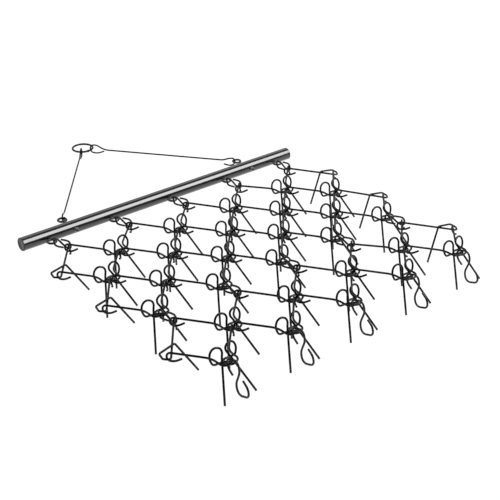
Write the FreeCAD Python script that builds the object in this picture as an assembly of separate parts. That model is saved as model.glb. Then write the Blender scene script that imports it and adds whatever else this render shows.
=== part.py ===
import FreeCAD, Part
import math
import os

# Chain harrow: a drawbar with a pull bridle in front and a flexible mat of bent tine rods behind it.
# Frame: +X along the drawbar, +Y the way the harrow travels, +Z up, millimetres.
# The mat is laid out round a middle plane at x = 0, a front row of joints at y = 0 and the level
# of the tine rings at z = 0, and is lifted onto its tine tips at the end.

# Mat layout
rod_diameter = 7.0
column_pitch = 250.0
row_step = 134.6
section_gap = 67.0
rows = 6
columns = 5

# Tine rod: shoulder, flat eye, upright ring and tine, all seen from the joint that they lie round
shoulder_lead = 17.0
shoulder_drop = 14.0
eye_side = 9.1
eye_back = 17.7
eye_width = 43.4
eye_depth = 41.0
ring_side = 26.0
ring_drop = 1.0
ring_width = 44.0
ring_height = 50.0
ring_lean = 9.0
under_side = 34.0
under_lead = 2.5
tine_start_side = 6.0
tine_start_back = 0.0
tine_start_rise = 7.0
tine_knee_side = 12.8
tine_knee_back = 6.4
tine_knee_drop = 4.5
tine_tip_side = 58.3
tine_tip_back = 75.7
tine_tip_drop = 115.5
edge_corner_side = 50.0
edge_corner_lead = 1.0
edge_corner_drop = 4.0
edge_bend_radius = 8.0
edge_tip_side = 117.7
edge_tip_back = 20.0
edge_tip_drop = 116.2

# Front hook of a tine rod
hook_height = 26.0
hook_length = 46.0
hook_twist = 8.0
joint_hook_side = 4.3
joint_hook_back = 22.2
joint_hook_drop = 3.0
apex_hook_side = 9.0
apex_hook_back = 19.0
apex_stack_drop = 1.0
apex_stack_spacing = 8.0

# Heights of the flat eye at its six corners, as shares of the hook height, for the rods that run
# back to the right and those that run back to the left
right_eye_shares = (0.56, 0.585, 0.33, 0.68, 1.145, 1.19)
left_eye_shares = (0.56, 0.61, 0.74, 0.67, 1.115, 0.82)
right_under_share = 1.085
left_under_share = 0.92

# Three corners of the open eye on the edges of the mat: side, back and down, as shares of the
# width and depth of the other eyes and of the hook height
edge_eye_shares = ((-0.07, 1.1, 0.62), (0.29, 0.64, 0.66), (0.21, 0.07, 0.5))

# Lean of the ring at its five corners, as shares of the greatest lean
ring_lean_shares = (0.11, 0.55, 1.0, 1.0, 0.55)

# Hook outline from its free end to its crown: along, across and down, as shares of its own
# length, twist and height
hook_shares = ((1.0, 1.1, 0.5), (0.52, 1.0, 0.96), (0.0, 0.19, 1.0))

# S-hook: half of its outline, as shares of its length and its loop width. The hooks in the mat
# are pressed shut round the rods, and the free ones behind it stay wide open.
s_length = 94.0
s_loop_width = 26.0
s_half_shares = ((0.49, -0.56), (0.2, -0.6), (0.0, -0.5), (0.0, 0.5), (0.27, 0.5))
open_s_length = 112.0
open_s_loop_width = 50.0
open_s_half_shares = ((0.46, -0.45), (0.25, -0.78), (0.0, -0.66), (0.0, 0.3), (0.3, 0.36))
s_seat_clearance = 0.4
s_crown_back = 12.6
slack_hook_lead = 21.0
hanging_angle = 71.0
hanging_back = 8.5
hanging_rise = 15.1

# Level at which the eyes of two rods cross behind a joint
eye_stack_drop = 14.65

# Drawbar and its eyebolts
bar_diameter = 48.3
bar_wall = 3.2
bar_overhang = 90.5
bar_lead = 105.0
bar_drop = 17.0
cap_thickness = 3.0
cap_spigot = 12.0
cap_fit = 0.2
mat_eye_spread = 8.0
bolt_wire = 8.0
bolt_eye_radius = 15.0
mat_eye_seat_share = 0.35
bolt_hole_clearance = 0.3
pull_eye_share = 1.566
pull_eye_lead = 70.0
nut_flats = 13.0
nut_height = 6.5
nut_bore_clearance = 0.05
bolt_overhang = 4.0
washer_diameter = 17.0
washer_thickness = 1.6

# Pull bridle
tow_ring_radius = 41.0
tow_ring_wire = 8.0
tow_ring_lead = 581.0
pull_rod_diameter = 6.0
pull_seat_clearance = 0.4
pear_length = 60.0
pear_rise = 20.0
pear_fall = 18.0
crook_length = 48.0
crook_rise = 12.0
crook_fall = 22.0
pear_shares = ((0.98, -0.35), (0.5, -1.0), (0.0, -0.8), (0.0, 0.7), (0.42, 1.0))
crook_shares = ((0.5, 0.85), (0.0, 1.0), (0.0, -0.55), (0.4, -1.0), (0.95, -0.75))

rod_radius = rod_diameter / 2
bar_radius = bar_diameter / 2
mat_eye_pitch = column_pitch + mat_eye_spread
pull_eye_side = pull_eye_share * mat_eye_pitch
bar_length = (columns - 1) * mat_eye_pitch + 2 * bar_overhang
corner_step = 45.0
corner_spread = 1 / math.cos(math.radians(corner_step / 2))
arc_fit = 0.98


def vec(x, y, z):
    return FreeCAD.Vector(x, y, z)


def bend(before, corner, after, room_before, room_after, limit):
    """Tangent arc that rounds a corner, with its start, middle and end."""
    to_before = (before - corner).normalize()
    to_after = (after - corner).normalize()
    turn = math.pi - to_before.getAngle(to_after)
    reach = arc_fit * min(room_before, room_after)
    if limit:
        reach = min(reach, limit * math.tan(turn / 2))
    radius = reach / math.tan(turn / 2)
    inward = (to_before + to_after).normalize()
    middle = corner + inward * (radius / math.cos(turn / 2) - radius)
    return corner + to_before * reach, middle, corner + to_after * reach


def rod_path(points, limits):
    """Straight runs joined by tangent arcs through a list of corner points."""
    edges = []
    start = points[0]
    last = len(points) - 2
    for i in range(1, len(points) - 1):
        before = points[i - 1]
        corner = points[i]
        after = points[i + 1]
        room_before = before.distanceToPoint(corner) / (1 if i == 1 else 2)
        room_after = after.distanceToPoint(corner) / (1 if i == last else 2)
        arc_start, arc_middle, arc_end = bend(before, corner, after, room_before, room_after, limits.get(i))
        edges.append(Part.makeLine(start, arc_start))
        edges.append(Part.Arc(arc_start, arc_middle, arc_end).toShape())
        start = arc_end
    edges.append(Part.makeLine(start, points[-1]))
    return Part.Wire(edges)


def round_rod(points, diameter, limits=None):
    """Solid round rod along a path."""
    path = rod_path(points, limits or {})
    profile = Part.Wire(Part.makeCircle(diameter / 2, points[0], points[1] - points[0]))
    solid = path.makePipeShell([profile], True, False)
    if solid.Volume < 0:
        solid.reverse()
    return solid


def mirrored(points):
    return [vec(-p.x, p.y, p.z) for p in points]


def moved(points, offset):
    return [p + offset for p in points]


# Tine rods


def eye_corners(shares):
    """Six corners of the flat eye, from its outer side round the back to its front."""
    corners = []
    for i, share in enumerate(shares):
        angle = math.radians(180 + corner_step / 2 + corner_step * i)
        x = -eye_side + eye_width / 2 * corner_spread * math.cos(angle)
        y = -eye_back + eye_depth / 2 * corner_spread * math.sin(angle)
        corners.append(vec(x, y, -share * hook_height))
    return corners


def ring_corners():
    """Five corners of the upright ring, from below the arm up its outer side and over the top."""
    corners = []
    for i, share in enumerate(ring_lean_shares):
        angle = math.radians(180 + corner_step - corner_step * i)
        x = -ring_side + ring_width / 2 * corner_spread * math.cos(angle)
        z = -ring_drop + ring_height / 2 * corner_spread * math.sin(angle)
        corners.append(vec(x, share * ring_lean, z))
    return corners


def front_hook(crown, arm_end):
    """Points of the hook at the front of a rod, from its free end to its crown."""
    along = vec(arm_end.x - crown.x, arm_end.y - crown.y, 0).normalize()
    across = vec(along.y, -along.x, 0)
    points = []
    for far, side, down in hook_shares:
        points.append(crown + along * (far * hook_length) + across * (side * hook_twist)
                      - vec(0, 0, down * hook_height))
    points.append(crown)
    return points


def tine_rod(crown, joint, eye_shares, under_share):
    """Corner points of a rod that runs back to the right, from its hook to its tine."""
    outer = eye_side + eye_width / 2
    shoulder = joint + vec(-outer, shoulder_lead, -shoulder_drop)
    points = front_hook(crown, shoulder)
    points.append(shoulder)
    points += moved(eye_corners(eye_shares), joint)
    points.append(joint + vec(-under_side, under_lead, -under_share * hook_height))
    points += moved(ring_corners(), joint)
    points.append(joint + vec(-tine_start_side, -tine_start_back, tine_start_rise))
    points.append(joint + vec(-tine_knee_side, -tine_knee_back, -tine_knee_drop))
    points.append(joint + vec(-tine_tip_side, -tine_tip_back, -tine_tip_drop))
    return points


def edge_rod(crown, joint):
    """Corner points of the plain rod on the right edge of the mat, which has no ring."""
    eye = []
    for side, back, down in edge_eye_shares:
        eye.append(joint + vec(side * eye_width, -back * eye_depth, -down * hook_height))
    points = front_hook(crown, eye[0]) + eye
    points.append(joint + vec(-edge_corner_side, edge_corner_lead, -edge_corner_drop))
    points.append(joint + vec(-edge_tip_side, -edge_tip_back, -edge_tip_drop))
    return points


def row_line(row):
    """Y of the joints at the back of a row, row 0 being the joints in front of the mat."""
    return -row * row_step - (section_gap if row > rows - 2 else 0)


# Where an S-hook carries the two rods of an apex, they cross this far behind it
arm_side = column_pitch / 2 - eye_side - eye_width / 2 + apex_hook_side
arm_back = row_step - shoulder_lead - apex_hook_back
stack_back = apex_hook_back + apex_hook_side * arm_back / arm_side


def edge_hook_back():
    """Place of an edge rod's crown, from which its straighter arm passes through the same crossing."""
    side, back, down = edge_eye_shares[0]
    reach = column_pitch / 2 + side * eye_width
    fall = row_step + back * eye_depth - stack_back
    return stack_back - apex_hook_side * fall / reach


def rods_of_apex(row, x):
    """The rods that hang from one apex of a row: one to the right, one to the left, or both.

    Where an S-hook carries the two rods, the one on the inner side of the mat lies on top, as
    the outer S-hooks lean inwards."""
    linked = row in (1, rows - 1)
    front = row_line(row) + row_step if linked else row_line(row - 1)
    side = -apex_hook_side if linked else joint_hook_side
    back = apex_hook_back if linked else joint_hook_back
    rise = apex_stack_spacing / 2 if x <= 0 else -apex_stack_spacing / 2
    right_drop = apex_stack_drop - rise if linked else joint_hook_drop
    left_drop = apex_stack_drop + rise if linked else joint_hook_drop
    joint = vec(column_pitch / 2, front - row_step, 0)
    edge = columns / 2 * column_pitch
    pressed = {2: hook_height / 2, 3: hook_height / 2}
    sharp = {4: edge_bend_radius, 5: edge_bend_radius, 6: edge_bend_radius, 7: edge_bend_radius}
    rods = []
    for sign, drop, shares, under in ((1, right_drop, right_eye_shares, right_under_share),
                                      (-1, left_drop, left_eye_shares, left_under_share)):
        if sign * x == edge:
            continue
        if sign * x + column_pitch / 2 == edge:
            crown = vec(side, front - (edge_hook_back() if linked else back), -drop)
            points, limits = edge_rod(crown, joint), pressed | sharp
        else:
            crown = vec(side, front - back, -drop)
            points, limits = tine_rod(crown, joint, shares, under), pressed
        points = points if sign > 0 else mirrored(points)
        rods.append(round_rod(moved(points, vec(x, 0, 0)), rod_diameter, limits))
    return rods


def apexes_of_row(row):
    """X of the apexes of a row, from left to right."""
    count = columns if row % 2 else columns + 1
    return [(i - (count - 1) / 2) * column_pitch for i in range(count)]


# S-hooks


def s_hook(start, end, lead, length, loop_width, half_shares):
    """S-hook whose front crown lies ahead of a start point by a lead, and which runs towards the end."""
    along = (end - start).normalize()
    up = (vec(0, 0, 1) - along * along.z).normalize()
    crown = start - along * lead
    front = [(far * length, side * loop_width) for far, side in half_shares]
    back = [(length - far, -side) for far, side in reversed(front)]
    points = [crown + along * far + up * side for far, side in front + back]
    round_crown = loop_width / 2
    limits = {2: round_crown, 3: round_crown, 6: round_crown, 7: round_crown}
    return round_rod(points, rod_diameter, limits)


def pressed_s_hook(start, end, lead):
    return s_hook(start, end, lead, s_length, s_loop_width, s_half_shares)


wire_seat = bolt_wire / 2 + rod_radius + s_seat_clearance
crossing_back = eye_back + eye_depth / 2 * math.sqrt(1 - (2 * eye_side / eye_width) ** 2)


def mat_eye_seat(place):
    """From the middle of a mat eyebolt's eye to the crown of its S-hook.

    The place counts the eyebolts outwards from the middle one, and outer S-hooks pull inwards."""
    reach = bolt_eye_radius - wire_seat
    side = mat_eye_seat_share * place
    return vec(-side * reach, -math.sqrt(1 - side ** 2) * reach, 0)


def mat_eye(place):
    """Middle of a mat eyebolt's eye, set so that its S-hook is pulled tight."""
    seat = mat_eye_seat(place)
    lean = place * mat_eye_spread + seat.x
    span = s_length - s_crown_back
    level = math.sqrt(span ** 2 - (bar_drop - apex_stack_drop) ** 2 - lean ** 2)
    return vec(place * mat_eye_pitch, level - stack_back - seat.y, -bar_drop)


def front_s_hook(place):
    end = vec(place * column_pitch, -stack_back, -apex_stack_drop)
    return pressed_s_hook(mat_eye(place) + mat_eye_seat(place), end, 0)


def middle_s_hook(x):
    start = vec(x, row_line(rows - 2) - crossing_back, -eye_stack_drop)
    end = vec(x, row_line(rows - 1) + row_step - stack_back, -apex_stack_drop)
    return pressed_s_hook(start, end, slack_hook_lead)


def hanging_s_hook(x):
    crown = vec(x, row_line(rows) - crossing_back - hanging_back, hanging_rise - eye_stack_drop)
    down = math.radians(hanging_angle)
    end = crown + vec(0, -math.cos(down), -math.sin(down))
    return s_hook(crown, end, 0, open_s_length, open_s_loop_width, open_s_half_shares)


# Drawbar


def places():
    """Places of the five columns of the mat, counted outwards from the middle one."""
    return [i - (columns - 1) // 2 for i in range(columns)]


def eyebolt(x, eye_y, forward):
    """Eyebolt through the drawbar, with its eye ahead of the bar or behind it."""
    sign = 1 if forward else -1
    eye = Part.makeTorus(bolt_eye_radius, bolt_wire / 2, vec(x, eye_y, -bar_drop), vec(0, 0, 1))
    root = vec(x, eye_y - sign * bolt_eye_radius, -bar_drop)
    end_y = bar_lead - sign * (bar_radius + washer_thickness + nut_height + bolt_overhang)
    shank = Part.makeCylinder(bolt_wire / 2, abs(root.y - end_y), root, vec(0, -sign, 0))
    return eye.fuse(shank).removeSplitter().Solids[0]


def bolt_places():
    """X, eye Y and direction of every eyebolt: five behind the bar, two ahead of it."""
    behind = [(mat_eye(place).x, mat_eye(place).y, False) for place in places()]
    ahead = [(side * pull_eye_side, bar_lead + pull_eye_lead, True) for side in (-1, 1)]
    return behind, ahead


def washer(x, forward):
    sign = -1 if forward else 1
    base = vec(x, bar_lead + sign * bar_radius, -bar_drop)
    axis = vec(0, sign, 0)
    disc = Part.makeCylinder(washer_diameter / 2, washer_thickness, base, axis)
    hole = Part.makeCylinder(bolt_wire / 2 + bolt_hole_clearance, washer_thickness, base, axis)
    return disc.cut(hole).Solids[0]


def nut(x, forward):
    sign = -1 if forward else 1
    base = vec(x, bar_lead + sign * (bar_radius + washer_thickness), -bar_drop)
    axis = vec(0, sign, 0)
    across = nut_flats / math.cos(math.radians(30))
    corners = []
    for i in range(7):
        angle = math.radians(60 * i)
        corners.append(base + vec(across / 2 * math.cos(angle), 0, across / 2 * math.sin(angle)))
    block = Part.Face(Part.makePolygon(corners)).extrude(axis * nut_height)
    bore = Part.makeCylinder(bolt_wire / 2 + nut_bore_clearance, nut_height, base, axis)
    return block.cut(bore).Solids[0]


def drawbar_tube():
    axis = vec(1, 0, 0)
    base = vec(-bar_length / 2, bar_lead, -bar_drop)
    tube = Part.makeCylinder(bar_radius, bar_length, base, axis)
    tube = tube.cut(Part.makeCylinder(bar_radius - bar_wall, bar_length, base, axis))
    behind, ahead = bolt_places()
    for x, eye_y, forward in behind + ahead:
        start = vec(x, bar_lead - bar_diameter, -bar_drop)
        hole = Part.makeCylinder(bolt_wire / 2 + bolt_hole_clearance, 2 * bar_diameter, start, vec(0, 1, 0))
        tube = tube.cut(hole)
    return tube.Solids[0]


def end_cap(side):
    axis = vec(side, 0, 0)
    face = vec(side * bar_length / 2, bar_lead, -bar_drop)
    disc = Part.makeCylinder(bar_radius, cap_thickness, face, axis)
    spigot = Part.makeCylinder(bar_radius - bar_wall - cap_fit, cap_spigot, face, vec(-side, 0, 0))
    return disc.fuse(spigot).removeSplitter().Solids[0]


# Pull bridle


def tow_ring():
    centre = vec(0, bar_lead + tow_ring_lead, -bar_drop)
    return Part.makeTorus(tow_ring_radius, tow_ring_wire / 2, centre, vec(0, 0, 1))


def pull_rod(side):
    """Pull rod from a pear-shaped eye round the tow ring to a crook through a pull eyebolt."""
    ring_centre = vec(0, bar_lead + tow_ring_lead, -bar_drop)
    eye_centre = vec(side * pull_eye_side, bar_lead + pull_eye_lead, -bar_drop)
    along = (eye_centre - ring_centre).normalize()
    ring_wire = ring_centre + along * tow_ring_radius
    eye_wire = eye_centre - along * bolt_eye_radius
    pear_crown = ring_wire - along * (tow_ring_wire / 2 + pull_rod_diameter / 2 + pull_seat_clearance)
    crook_crown = eye_wire + along * (bolt_wire / 2 + pull_rod_diameter / 2 + pull_seat_clearance)
    points = []
    for far, high in pear_shares:
        height = high * (pear_rise if high > 0 else pear_fall)
        points.append(pear_crown + along * (far * pear_length) + vec(0, 0, height))
    points.append(pear_crown + along * pear_length)
    points.append(crook_crown - along * crook_length)
    for far, high in crook_shares:
        height = high * (crook_rise if high > 0 else crook_fall)
        points.append(crook_crown - along * (far * crook_length) + vec(0, 0, height))
    return round_rod(points, pull_rod_diameter)


# Assembly: every node is a list of solids


def all_nodes():
    nodes = {}
    behind, ahead = bolt_places()
    nodes["drawbar_tube"] = [drawbar_tube()]
    nodes["drawbar_end_caps"] = [end_cap(-1), end_cap(1)]
    nodes["mat_eyebolts"] = [eyebolt(*place) for place in behind]
    nodes["pull_eyebolts"] = [eyebolt(*place) for place in ahead]
    nodes["eyebolt_washers"] = [washer(x, forward) for x, eye_y, forward in behind + ahead]
    nodes["eyebolt_nuts"] = [nut(x, forward) for x, eye_y, forward in behind + ahead]
    nodes["tow_ring"] = [tow_ring()]
    nodes["pull_rod_left"] = [pull_rod(-1)]
    nodes["pull_rod_right"] = [pull_rod(1)]
    for i, place in enumerate(places()):
        x = place * column_pitch
        nodes["front_s_hook_%d" % (i + 1)] = [front_s_hook(place)]
        nodes["middle_s_hook_%d" % (i + 1)] = [middle_s_hook(x)]
        nodes["rear_s_hook_%d" % (i + 1)] = [hanging_s_hook(x)]
    for row in range(1, rows + 1):
        for i, x in enumerate(apexes_of_row(row)):
            name = "row_%d_tine_link_%d" % (row, i + 1)
            rods = rods_of_apex(row, x)
            if x == 0 and row in (1, rows - 1):
                nodes[name + "_right"], nodes[name + "_left"] = [rods[0]], [rods[1]]
            else:
                nodes[name] = rods
    return nodes


def standing_offset(nodes):
    """Move that stands the harrow on its tine tips, with the origin below its middle."""
    bounds = FreeCAD.BoundBox()
    for solids in nodes.values():
        for solid in solids:
            bounds.add(solid.optimalBoundingBox(False, False))
    return vec(-bounds.Center.x, -bounds.Center.y, -bounds.ZMin)


def main():
    os.makedirs("parts", exist_ok=True)
    nodes = all_nodes()
    offset = standing_offset(nodes)
    for name, solids in nodes.items():
        placed = [solid.translated(offset) for solid in solids]
        shape = placed[0] if len(placed) == 1 else Part.makeCompound(placed)
        shape.exportStep("parts/%s.step" % name)


main()
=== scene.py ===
import math

import bpy
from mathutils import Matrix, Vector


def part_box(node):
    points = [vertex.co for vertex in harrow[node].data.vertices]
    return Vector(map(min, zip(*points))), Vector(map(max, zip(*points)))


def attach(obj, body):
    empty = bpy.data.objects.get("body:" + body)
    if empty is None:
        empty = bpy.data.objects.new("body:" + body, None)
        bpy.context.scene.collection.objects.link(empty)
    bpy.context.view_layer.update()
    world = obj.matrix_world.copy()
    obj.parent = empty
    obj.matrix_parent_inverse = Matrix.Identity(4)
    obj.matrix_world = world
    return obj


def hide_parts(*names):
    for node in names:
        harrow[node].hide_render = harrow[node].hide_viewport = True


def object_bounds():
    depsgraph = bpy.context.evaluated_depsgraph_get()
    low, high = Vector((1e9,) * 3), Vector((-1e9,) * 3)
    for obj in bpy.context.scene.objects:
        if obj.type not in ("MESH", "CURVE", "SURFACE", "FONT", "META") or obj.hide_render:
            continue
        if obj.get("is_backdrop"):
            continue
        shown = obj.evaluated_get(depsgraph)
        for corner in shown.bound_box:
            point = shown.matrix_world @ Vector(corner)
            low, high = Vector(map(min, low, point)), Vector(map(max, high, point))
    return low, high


# Everything below is in metres: +X along the drawbar, +Y the way it is towed, +Z up.
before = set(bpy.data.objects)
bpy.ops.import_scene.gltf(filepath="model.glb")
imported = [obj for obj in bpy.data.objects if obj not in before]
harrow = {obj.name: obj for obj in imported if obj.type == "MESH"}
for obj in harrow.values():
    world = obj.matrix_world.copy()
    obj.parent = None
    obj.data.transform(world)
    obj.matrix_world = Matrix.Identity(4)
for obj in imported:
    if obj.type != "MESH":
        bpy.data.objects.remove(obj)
cad_low, cad_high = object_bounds()
bpy.ops.object.select_all(action="DESELECT")


# Drawbar: a round steel tube, sprayed with gloss black enamel that lies on it with a faint
# orange peel. Handling leaves some hazy rub marks along its length, and the paint is thin and
# grey where hands and straps rub the two ends.

tube_black = (0.002, 0.002, 0.002, 1.0)
tube_rubbed = (0.012, 0.012, 0.013, 1.0)
end_wear_reach = 0.06
rub_strength = 0.35


def shader(name):
    """A new material with its Principled shader and a place to read the object's own coordinates."""
    finish = bpy.data.materials.new(name)
    finish.use_nodes = True
    tree = finish.node_tree
    place = tree.nodes.new("ShaderNodeTexCoord").outputs["Object"]
    return finish, tree, tree.nodes["Principled BSDF"], place


def stretched(tree, place, scale):
    """Object coordinates stretched by a scale for each axis."""
    mapping = tree.nodes.new("ShaderNodeMapping")
    mapping.inputs["Scale"].default_value = scale
    tree.links.new(place, mapping.inputs["Vector"])
    return mapping.outputs["Vector"]


def coordinate(tree, place, axis):
    """One coordinate of a place: X, Y or Z."""
    split = tree.nodes.new("ShaderNodeSeparateXYZ")
    tree.links.new(place, split.inputs["Vector"])
    return split.outputs[axis]


def noise(tree, place, scale, detail=4.0, roughness=0.55):
    """Noise of a given scale, in waves per metre."""
    texture = tree.nodes.new("ShaderNodeTexNoise")
    texture.inputs["Scale"].default_value = scale
    texture.inputs["Detail"].default_value = detail
    texture.inputs["Roughness"].default_value = roughness
    tree.links.new(place, texture.inputs["Vector"])
    return texture.outputs["Fac"]


def between(tree, value, low, high, to_low=0.0, to_high=1.0):
    """A value spread from one range to another, and held there."""
    spread = tree.nodes.new("ShaderNodeMapRange")
    spread.clamp = True
    spread.inputs["From Min"].default_value = low
    spread.inputs["From Max"].default_value = high
    spread.inputs["To Min"].default_value = to_low
    spread.inputs["To Max"].default_value = to_high
    tree.links.new(value, spread.inputs["Value"])
    return spread.outputs["Result"]


def blended(tree, share, first, second):
    """Two colours, or a colour output and a colour, mixed by a share."""
    mix = tree.nodes.new("ShaderNodeMix")
    mix.data_type = "RGBA"
    tree.links.new(share, mix.inputs["Factor"])
    for colour, socket in ((first, mix.inputs["A"]), (second, mix.inputs["B"])):
        if isinstance(colour, tuple):
            socket.default_value = colour
        else:
            tree.links.new(colour, socket)
    return mix.outputs["Result"]


def combined(tree, operation, first, second):
    """Two values put together by a maths operation; the second may be a plain number."""
    maths = tree.nodes.new("ShaderNodeMath")
    maths.operation = operation
    tree.links.new(first, maths.inputs[0])
    if isinstance(second, float):
        maths.inputs[1].default_value = second
    else:
        tree.links.new(second, maths.inputs[1])
    return maths.outputs["Value"]


def roughened(tree, skin, height, strength, distance):
    """Fine relief on a shader, from a height."""
    bump = tree.nodes.new("ShaderNodeBump")
    bump.inputs["Strength"].default_value = strength
    bump.inputs["Distance"].default_value = distance
    tree.links.new(height, bump.inputs["Height"])
    tree.links.new(bump.outputs["Normal"], skin.inputs["Normal"])


def painted(piece, finish):
    """A piece that takes one finish all over."""
    piece.data.materials.clear()
    piece.data.materials.append(finish)


def gloss_enamel():
    """Gloss black, hazy where it is rubbed and greyer where straps wear the ends."""
    finish, tree, skin, place = shader("gloss_black_enamel")
    along = stretched(tree, place, scale=(0.35, 1.0, 1.0))
    streaks = noise(tree, along, scale=26.0, detail=6.0, roughness=0.62)
    rub = combined(tree, "MULTIPLY", between(tree, streaks, low=0.56, high=0.74), rub_strength)
    outward = combined(tree, "ABSOLUTE", coordinate(tree, place, "X"), 0.0)
    tube_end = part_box("drawbar_tube")[1].x
    near_end = between(tree, outward, low=tube_end - end_wear_reach, high=tube_end)
    patches = between(tree, noise(tree, place, scale=90.0), low=0.45, high=0.62)
    worn = combined(tree, "MULTIPLY", near_end, patches)
    share = combined(tree, "MAXIMUM", rub, worn)
    tree.links.new(blended(tree, share, tube_black, tube_rubbed), skin.inputs["Base Color"])
    haze = between(tree, share, low=0.0, high=1.0, to_low=0.14, to_high=0.34)
    tree.links.new(haze, skin.inputs["Roughness"])
    skin.inputs["IOR"].default_value = 1.6
    skin.inputs["Coat Weight"].default_value = 0.5
    skin.inputs["Coat Roughness"].default_value = 0.05
    peel = noise(tree, place, scale=420.0, detail=2.0)
    roughened(tree, skin, peel, strength=0.03, distance=0.0004)
    return finish


painted(harrow["drawbar_tube"], gloss_enamel())


# End caps: a pressed steel plug closes each end of the tube. It has a rolled rim, a shallow dish
# in its face and a short hollow spigot driven into the bore, and it is painted satin black.

cap_thickness = 0.003
cap_rim = 0.0045
cap_roll = 0.0009
cap_dish = 0.0012
dish_slope = 0.97
dish_floor = 0.94
tube_wall = 0.0034
spigot_length = 0.012
spigot_wall = 0.0012
spigot_hollow_share = 0.8
facing = 0.9
quarter_turn = math.pi / 2


def alone(piece):
    """A piece made active, with nothing else selected, in object mode."""
    if bpy.context.mode != "OBJECT":
        bpy.ops.object.mode_set(mode="OBJECT")
    bpy.ops.object.select_all(action="DESELECT")
    piece.select_set(True)
    bpy.context.view_layer.objects.active = piece


def turned_bar(sides, radius, depth, middle, turn):
    """A short round or many-sided bar, with its place and turn already in its mesh."""
    bpy.ops.mesh.primitive_cylinder_add(
        vertices=sides, radius=radius, depth=depth, location=middle, rotation=turn)
    bpy.ops.object.transform_apply(location=True, rotation=True, scale=True)
    return bpy.context.object


def picked(piece, test):
    """A piece in edit mode, with only the faces that pass a test selected."""
    alone(piece)
    bpy.ops.object.mode_set(mode="EDIT")
    bpy.ops.mesh.select_mode(type="FACE")
    bpy.ops.mesh.select_all(action="DESELECT")
    bpy.ops.object.mode_set(mode="OBJECT")
    for face in piece.data.polygons:
        face.select = test(face)
    bpy.ops.object.mode_set(mode="EDIT")


def extruded(along, scale=1.0):
    """The selected face pulled out along a vector, with its new outline scaled about its middle."""
    bpy.ops.mesh.extrude_region_move(TRANSFORM_OT_translate={"value": along})
    if scale != 1.0:
        bpy.ops.transform.resize(value=(scale, scale, scale))


def copied(piece, step):
    """A copy of a finished piece, with its own mesh, moved by a step."""
    alone(piece)
    bpy.ops.object.duplicate()
    bpy.ops.transform.translate(value=step)
    return bpy.context.object


def settled(piece, name, finish, body):
    """A finished piece: its place in its mesh, outward normals, smooth faces, material and body."""
    alone(piece)
    bpy.ops.object.transform_apply(location=True, rotation=True, scale=True)
    bpy.ops.object.mode_set(mode="EDIT")
    bpy.ops.mesh.select_all(action="SELECT")
    bpy.ops.mesh.remove_doubles(threshold=0.000005)
    bpy.ops.mesh.normals_make_consistent(inside=False)
    bpy.ops.object.mode_set(mode="OBJECT")
    bpy.ops.object.shade_smooth_by_angle(angle=math.radians(32))
    piece.name = name
    painted(piece, finish)
    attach(piece, body)


def left_cap(low, high):
    """The left cap, shaped from a disc across X: its outer face first, then its spigot."""
    radius = (high.z - low.z) / 2
    middle = (low.x + cap_thickness / 2, (low.y + high.y) / 2, (low.z + high.z) / 2)
    cap = turned_bar(96, radius, cap_thickness, middle, (0, quarter_turn, 0))
    picked(cap, lambda face: face.normal.x < -facing)
    bpy.ops.mesh.region_to_loop()
    bpy.ops.mesh.bevel(offset=cap_roll, segments=4)
    picked(cap, lambda face: face.normal.x < -facing and face.area > radius * radius)
    bpy.ops.mesh.inset(thickness=cap_rim)
    extruded((cap_dish / 2, 0, 0), dish_slope)
    extruded((cap_dish / 2, 0, 0), dish_floor)
    picked(cap, lambda face: face.normal.x > facing)
    bpy.ops.mesh.inset(thickness=tube_wall)
    extruded((spigot_length, 0, 0))
    bpy.ops.mesh.inset(thickness=spigot_wall)
    extruded((-spigot_length * spigot_hollow_share, 0, 0))
    return cap


def satin_black():
    """Satin black paint with a little dust in it."""
    finish, tree, skin, place = shader("satin_black_plug")
    black = (0.004, 0.004, 0.004, 1.0)
    dusty = (0.012, 0.012, 0.011, 1.0)
    dust = between(tree, noise(tree, place, scale=120.0, detail=5.0), low=0.4, high=0.7)
    tree.links.new(blended(tree, dust, black, dusty), skin.inputs["Base Color"])
    sheen = between(tree, dust, low=0.0, high=1.0, to_low=0.32, to_high=0.5)
    tree.links.new(sheen, skin.inputs["Roughness"])
    grain = noise(tree, place, scale=1400.0, detail=2.0)
    roughened(tree, skin, grain, strength=0.2, distance=0.0001)
    return finish


plug_black = satin_black()
caps_low, caps_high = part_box("drawbar_end_caps")
bar_middle = (caps_low + caps_high) / 2
cap_on_left = left_cap(caps_low, caps_high)
settled(cap_on_left, "end_cap_left", plug_black, "drawbar")
cap_on_right = copied(cap_on_left, (0, 0, 0))
bpy.ops.transform.rotate(value=math.pi, orient_axis="Z", center_override=bar_middle)
settled(cap_on_right, "end_cap_right", plug_black, "drawbar")
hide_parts("drawbar_end_caps")
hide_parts("drawbar_end_caps")


# Tine links: each is a length of spring steel rod, cold bent on a former and dipped in a dark
# gunmetal lacquer. The lacquer is glossy but thin, with drawn lines below it, and it is worn
# to bare steel on the tips of the tines, which the ground polishes.

bare_steel = (0.10, 0.098, 0.095, 1.0)
tine_dark = (0.0004, 0.0004, 0.0005, 1.0)
tine_light = (0.002, 0.002, 0.0022, 1.0)
ground_wear_low = 0.002
ground_wear_high = 0.034


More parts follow.
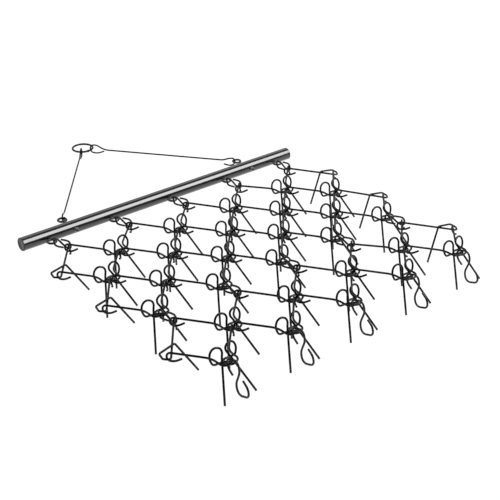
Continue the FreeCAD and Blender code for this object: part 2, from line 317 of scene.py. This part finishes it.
def lacquer(name, dark, light, gloss, scuffs, shine):
    """Dark lacquer on bent rod: its two tones, roughness, share of scuffs and strength of shine."""
    finish, tree, skin, place = shader(name)
    tone = between(tree, noise(tree, place, scale=38.0), low=0.35, high=0.65)
    body = blended(tree, tone, dark, light)
    specks = noise(tree, place, scale=310.0, detail=5.0, roughness=0.7)
    chips = between(tree, specks, low=1.0 - scuffs, high=1.04 - scuffs, to_high=0.5)
    height = coordinate(tree, place, "Z")
    low_down = between(tree, height, ground_wear_low, ground_wear_high, to_low=1.0, to_high=0.0)
    grit = between(tree, noise(tree, place, 150.0, detail=5.0, roughness=0.6), low=0.35, high=0.7)
    tips = combined(tree, "MULTIPLY", low_down, grit)
    share = combined(tree, "MAXIMUM", chips, tips)
    tree.links.new(blended(tree, share, body, bare_steel), skin.inputs["Base Color"])
    tree.links.new(combined(tree, "MULTIPLY", share, 0.9), skin.inputs["Metallic"])
    dulled = between(tree, share, low=0.0, high=1.0, to_low=gloss, to_high=0.42)
    tree.links.new(dulled, skin.inputs["Roughness"])
    skin.inputs["IOR"].default_value = 1.5
    skin.inputs["Specular IOR Level"].default_value = shine
    drawn = noise(tree, place, scale=900.0, detail=3.0, roughness=0.6)
    roughened(tree, skin, drawn, strength=0.15, distance=0.00015)
    return finish


tine_lacquer = lacquer(
    "gunmetal_tine_lacquer", tine_dark, tine_light, gloss=0.22, scuffs=0.2, shine=0.22)
for name, link in harrow.items():
    if "_tine_link_" in name:
        painted(link, tine_lacquer)


# S-hooks: shorter lengths of the same rod, bent to a figure that hooks on at both ends. They
# are dipped with the tines, and are a little more scuffed, because each one is prised open
# and shut when the mat is put together.

hook_lacquer = lacquer(
    "gunmetal_hook_lacquer", tine_dark, tine_light, gloss=0.24, scuffs=0.235, shine=0.3)
for name, hook in harrow.items():
    if "_s_hook_" in name:
        painted(hook, hook_lacquer)


# Pull bridle: two thinner rods, each bent to a long eye at the tow ring and to a crook at its
# eyebolt. Both rods and the ring have a plain black lacquer.

bridle_dark = (0.0004, 0.0004, 0.0004, 1.0)
bridle_light = (0.002, 0.002, 0.002, 1.0)
bridle_lacquer = lacquer(
    "black_bridle_lacquer", bridle_dark, bridle_light, gloss=0.24, scuffs=0.21, shine=0.22)
for name in ("pull_rod_left", "pull_rod_right", "tow_ring"):
    painted(harrow[name], bridle_lacquer)


# Tow ring weld: the ring is bent from one rod and butt welded. The bead stands a little proud of
# the wire, has overlapping ripples, and lies on the ring's rear side, between the two pull rods.

weld_proud = 0.0009
weld_width = 0.0075
weld_ripples = 5
weld_fall = 0.06
weld_root = 1.01


def weld_bead():
    """The bead, drawn out along X ripple by ripple, highest in its middle."""
    low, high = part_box("tow_ring")
    wire = (high.z - low.z) / 2
    start = ((low.x + high.x - weld_width) / 2, low.y + wire, (low.z + high.z) / 2)
    bead = turned_bar(40, wire, 0.0004, start, (0, quarter_turn, 0))
    picked(bead, lambda face: face.normal.x > facing)
    crest = 1 + weld_proud / wire
    step = weld_width / (2 * weld_ripples)
    for ripple in range(weld_ripples):
        off_middle = abs(ripple - (weld_ripples - 1) / 2) / weld_ripples
        swell = crest - weld_fall * off_middle
        extruded((step, 0, 0), swell)
        extruded((step, 0, 0), weld_root / swell)
    return bead


settled(weld_bead(), "tow_ring_weld", bridle_lacquer, "tow_ring")


# Eyebolts: forged M8 bolts, each with a round eye, a neck that swells into it and a rolled thread.
# The thread ends just past the nut. They are blackened, with bare steel in the scuffs.

thread_pitch = 0.00125
thread_depth = 0.0006
thread_turns = 11
thread_flank_share = 0.4
thread_flat_share = 0.1
thread_point = 0.8
neck_swell = 1.3
neck_waist = 0.9


def solids_of(node):
    """Box of each separate solid in a CAD node, from left to right."""
    corners = sorted((vertex.co.copy() for vertex in harrow[node].data.vertices), key=lambda co: co.x)
    least_gap = 0.05
    groups = [[corners[0]]]
    for corner in corners[1:]:
        if corner.x - groups[-1][-1].x > least_gap:
            groups.append([])
        groups[-1].append(corner)
    boxes = []
    for group in groups:
        low = [min(corner[axis] for corner in group) for axis in range(3)]
        high = [max(corner[axis] for corner in group) for axis in range(3)]
        boxes.append((low, high))
    return boxes


def united(piece, other, operation="UNION"):
    """A piece joined with another, or cut by it, as one closed mesh."""
    alone(piece)
    bpy.ops.object.modifier_add(type="BOOLEAN")
    joining = piece.modifiers[-1]
    joining.operation = operation
    joining.solver = "EXACT"
    joining.object = other
    bpy.ops.object.modifier_apply(modifier=joining.name)
    alone(other)
    bpy.ops.object.delete()


def eyebolt(low, high, ahead):
    """One eyebolt along Y, with its eye ahead of the bar or behind it."""
    wire = (high[2] - low[2]) / 2
    outer = (high[0] - low[0]) / 2
    x, z = (low[0] + high[0]) / 2, (low[2] + high[2]) / 2
    away = -1 if ahead else 1
    eye_y = high[1] - outer if ahead else low[1] + outer
    end_y = low[1] if ahead else high[1]
    start_y = eye_y + away * (outer - wire)
    neck_start = (x, start_y + away * wire * 0.5, z)
    neck_length = wire * 1.9
    thread_length = thread_pitch * thread_turns
    bolt = turned_bar(32, wire * neck_swell, wire * 0.2, neck_start, (quarter_turn, 0, 0))
    picked(bolt, lambda face: face.normal.y * away > facing)
    extruded((0, away * wire * 0.7, 0), neck_waist)
    extruded((0, away * wire * 0.6, 0), 1 / (neck_waist * neck_swell))
    extruded((0, away * (abs(end_y - start_y) - neck_length - thread_length), 0))
    flank = away * thread_pitch * thread_flank_share
    flat = away * thread_pitch * thread_flat_share
    root = 1 - thread_depth / wire
    for _ in range(thread_turns - 1):
        extruded((0, flank, 0), root)
        extruded((0, flat, 0))
        extruded((0, flank, 0), 1 / root)
        extruded((0, flat, 0))
    extruded((0, away * thread_pitch, 0), thread_point)
    bpy.ops.object.mode_set(mode="OBJECT")
    bpy.ops.mesh.primitive_torus_add(
        major_segments=72, minor_segments=28, major_radius=outer - wire, minor_radius=wire,
        location=(x, eye_y, z))
    eye = bpy.context.object
    united(eye, bolt)
    return eye


fastener_lacquer = lacquer(
    "blackened_fastener", bridle_dark, tine_light, gloss=0.3, scuffs=0.22, shine=0.45)
for node, ahead in (("mat_eyebolts", False), ("pull_eyebolts", True)):
    for i, (low, high) in enumerate(solids_of(node)):
        bolt = eyebolt(low, high, ahead)
        settled(bolt, "%s_%d" % (node[:-1], i + 1), fastener_lacquer, "drawbar")
        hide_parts(node)


# Washers and nuts: stamped washers with a slightly rolled edge, and pressed hexagon nuts with
# chamfered corners and a plain bore. Both are zinc plated and dulled by a dark passivate.

washer_roll = 0.0003
washer_bore = 0.0043
nut_chamfer = 0.0011
nut_bore = 0.00405


def disc(middle, radius, depth, roll, segments):
    """A flat disc across Y with rolled or chamfered edges."""
    piece = turned_bar(72, radius, depth, middle, (quarter_turn, 0, 0))
    picked(piece, lambda face: abs(face.normal.y) > facing)
    bpy.ops.mesh.region_to_loop()
    bpy.ops.mesh.bevel(offset=roll, segments=segments)
    bpy.ops.object.mode_set(mode="OBJECT")
    return piece


def bored(piece, middle, radius, depth):
    """A piece with a round hole along Y through its middle."""
    drill = turned_bar(48, radius, depth * 2, middle, (quarter_turn, 0, 0))
    united(piece, drill, "DIFFERENCE")
    return piece


def washer(middle, width, depth):
    """A flat round washer."""
    ring = disc(middle, width / 2, depth, washer_roll, segments=3)
    return bored(ring, middle, washer_bore, depth)


def nut(middle, width, depth):
    """A hexagon nut, given by its width over the corners."""
    hexagon = turned_bar(6, width / 2, depth, middle, (quarter_turn, math.pi / 6, 0))
    united(hexagon, disc(middle, width / 2, depth, nut_chamfer, segments=1), "INTERSECT")
    return bored(hexagon, middle, nut_bore, depth)


def dull_zinc():
    """Zinc plate under a dark passivate, with a faint spangle."""
    finish, tree, skin, place = shader("dull_passivated_zinc")
    dark = (0.10, 0.10, 0.105, 1.0)
    pale = (0.34, 0.34, 0.33, 1.0)
    flakes = noise(tree, place, scale=260.0, detail=6.0, roughness=0.65)
    spangle = between(tree, flakes, low=0.35, high=0.7)
    tree.links.new(blended(tree, spangle, dark, pale), skin.inputs["Base Color"])
    skin.inputs["Metallic"].default_value = 0.85
    polish = between(tree, spangle, low=0.0, high=1.0, to_low=0.5, to_high=0.3)
    tree.links.new(polish, skin.inputs["Roughness"])
    grain = noise(tree, place, scale=1800.0, detail=3.0)
    roughened(tree, skin, grain, strength=0.2, distance=0.0001)
    return finish


zinc = dull_zinc()
for node, shaped in (("eyebolt_washers", washer), ("eyebolt_nuts", nut)):
    first_middle = None
    for i, (low, high) in enumerate(solids_of(node)):
        middle = [(low[axis] + high[axis]) / 2 for axis in range(3)]
        if first_middle is None:
            first_middle = middle
            first = shaped(middle, high[0] - low[0], high[1] - low[1])
            piece = first
        else:
            piece = copied(first, [middle[axis] - first_middle[axis] for axis in range(3)])
        settled(piece, "%s_%d" % (node[:-1], i + 1), zinc, "drawbar")
        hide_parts(node)


# Studio: a pale floor that runs past the edge of the picture, a wide softbox ahead of the right
# end that draws the long highlight on the tube, two weaker ones behind it, and an even pale room.

floor_size = 60.0
floor_grey = (0.7, 0.7, 0.7, 1.0)
floor_seen_grey = (0.06, 0.06, 0.06, 1.0)
floor_glow = 0.97
room_light = 0.25


def studio_floor():
    """The floor: a plain grey that looks white from the camera, and keeps a faint shadow."""
    bpy.ops.mesh.primitive_plane_add(size=floor_size, location=(0, 0, cad_low.z))
    floor = bpy.context.object
    floor.name = "studio_floor"
    finish, tree, skin, _ = shader("pale_studio_floor")
    rays = tree.nodes.new("ShaderNodeLightPath")
    seen = combined(tree, "MAXIMUM", rays.outputs["Is Camera Ray"], rays.outputs["Is Glossy Ray"])
    seen = combined(tree, "MAXIMUM", seen, rays.outputs["Is Transmission Ray"])
    tree.links.new(blended(tree, seen, floor_grey, floor_seen_grey), skin.inputs["Base Color"])
    skin.inputs["Roughness"].default_value = 0.9
    skin.inputs["Specular IOR Level"].default_value = 0.0
    glow = tree.nodes.new("ShaderNodeEmission")
    tree.links.new(combined(tree, "MULTIPLY", seen, floor_glow), glow.inputs["Strength"])
    both = tree.nodes.new("ShaderNodeAddShader")
    tree.links.new(skin.outputs["BSDF"], both.inputs[0])
    tree.links.new(glow.outputs["Emission"], both.inputs[1])
    tree.links.new(both.outputs["Shader"], tree.nodes["Material Output"].inputs["Surface"])
    painted(floor, finish)
    floor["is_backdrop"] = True


def pale_room():
    """The room: a weak even light, seen as white."""
    room = bpy.data.worlds.new("pale_room")
    room.use_nodes = True
    bpy.context.scene.world = room
    tree = room.node_tree
    background = tree.nodes["Background"]
    background.inputs["Color"].default_value = (1.0, 1.0, 1.0, 1.0)
    rays = tree.nodes.new("ShaderNodeLightPath")
    seen = combined(
        tree, "MAXIMUM", rays.outputs["Is Camera Ray"], rays.outputs["Is Transmission Ray"])
    strength = between(tree, seen, low=0.0, high=1.0, to_low=room_light)
    tree.links.new(strength, background.inputs["Strength"])


def softbox(name, place, target, size, power):
    """A rectangular soft light at a place, turned to face a target."""
    bpy.ops.object.light_add(type="AREA", location=place)
    lamp = bpy.context.object
    lamp.name = name
    lamp.data.shape = "RECTANGLE"
    lamp.data.size, lamp.data.size_y = size
    lamp.data.energy = power
    aim = [target[axis] - place[axis] for axis in range(3)]
    turn = math.atan2(-aim[0], aim[1])
    tilt = math.atan2(aim[2], math.hypot(aim[0], aim[1]))
    lamp.rotation_euler = (quarter_turn + tilt, 0, turn)


studio_floor()
pale_room()
softbox("key_softbox", (1.55, -1.30, 2.15), target=(1.55, 0.23, 0.10), size=(2.7, 2.3), power=170.0)
softbox("back_softbox", (1.9, 2.6, 2.2), target=(1.9, 0.23, 0.10), size=(4.0, 2.4), power=30.0)
softbox("left_softbox", (-2.6, 1.9, 2.2), target=(0.0, 0.0, 0.1), size=(1.6, 1.6), power=50.0)


# Camera: a short telephoto lens behind the left rear corner of the mat, looking down across it
# to the drawbar, at the place and angle solved from the grid of joints.

bpy.ops.object.camera_add(location=(-2.04275, -2.70999, 1.82607))
camera = bpy.context.object
camera.name = "photo_camera"
camera.rotation_euler = (math.radians(61.22), 0, math.radians(-39.86))
camera.data.sensor_width = 36.0
camera.data.lens = 75.84
bpy.context.scene.camera = camera
bpy.context.scene.view_settings.view_transform = "Standard"

low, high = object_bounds()
